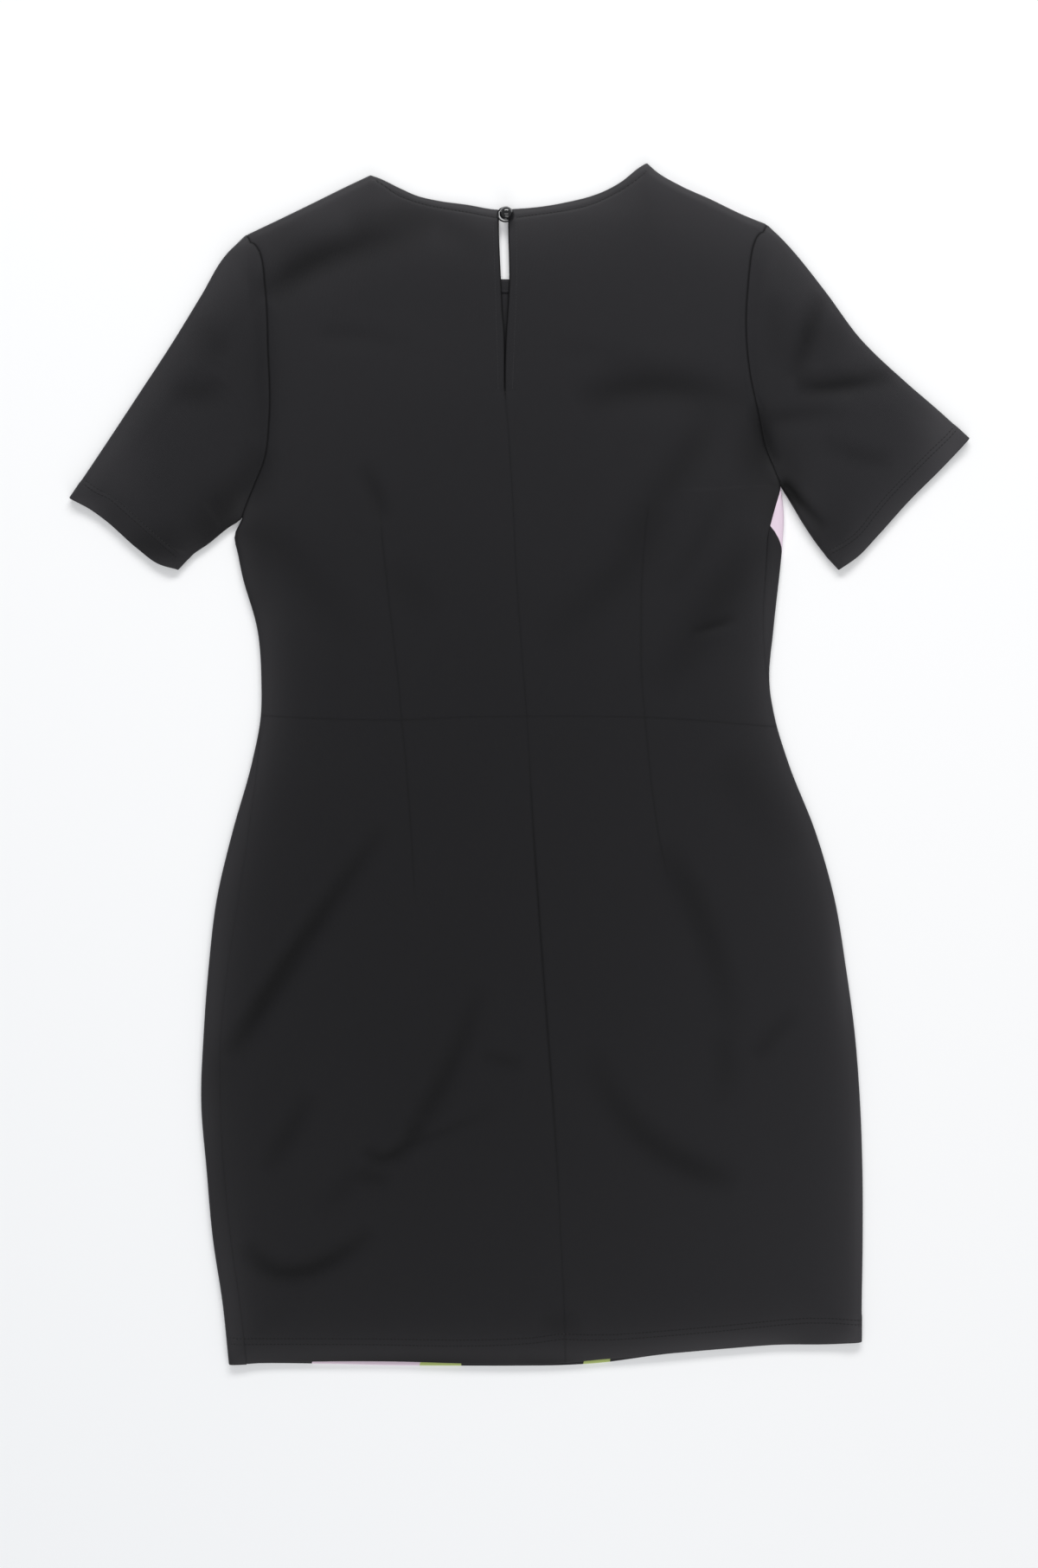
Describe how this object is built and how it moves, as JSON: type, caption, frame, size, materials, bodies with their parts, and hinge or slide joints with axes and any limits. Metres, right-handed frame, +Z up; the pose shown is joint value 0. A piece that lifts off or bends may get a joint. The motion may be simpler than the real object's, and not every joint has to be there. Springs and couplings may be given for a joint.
{
  "type": "bodycon dress",
  "caption": "Short-sleeved fitted dress laid flat with its back upwards: round neck, button-and-loop slit, waist seam, darts and set-in sleeves.",
  "frame": {"origin": "on the surface, under the middle of the dress's overall length and width", "axes": "+X to the viewer's right across the dress, +Y from the hem towards the neck, +Z up off the surface"},
  "size_m": [0.666, 0.8902, 0.0136],
  "materials": {
    "black_knit": "soft matte double knit",
    "printed_knit": "soft matte double knit, printed with broad pink, lime and black blocks",
    "cord": "fine black cord",
    "button_gloss": "polished"
  },
  "bodies": {
    "root": {"front": "printed_knit", "back_skirt_left": "black_knit", "back_skirt_right": "black_knit", "back_bodice_left": "black_knit", "back_bodice_right": "black_knit", "sleeve_left": "black_knit", "sleeve_right": "black_knit", "front_neck_facing": "black_knit", "button": "button_gloss", "button_loop": "cord"}
  },
  "joints": []
}
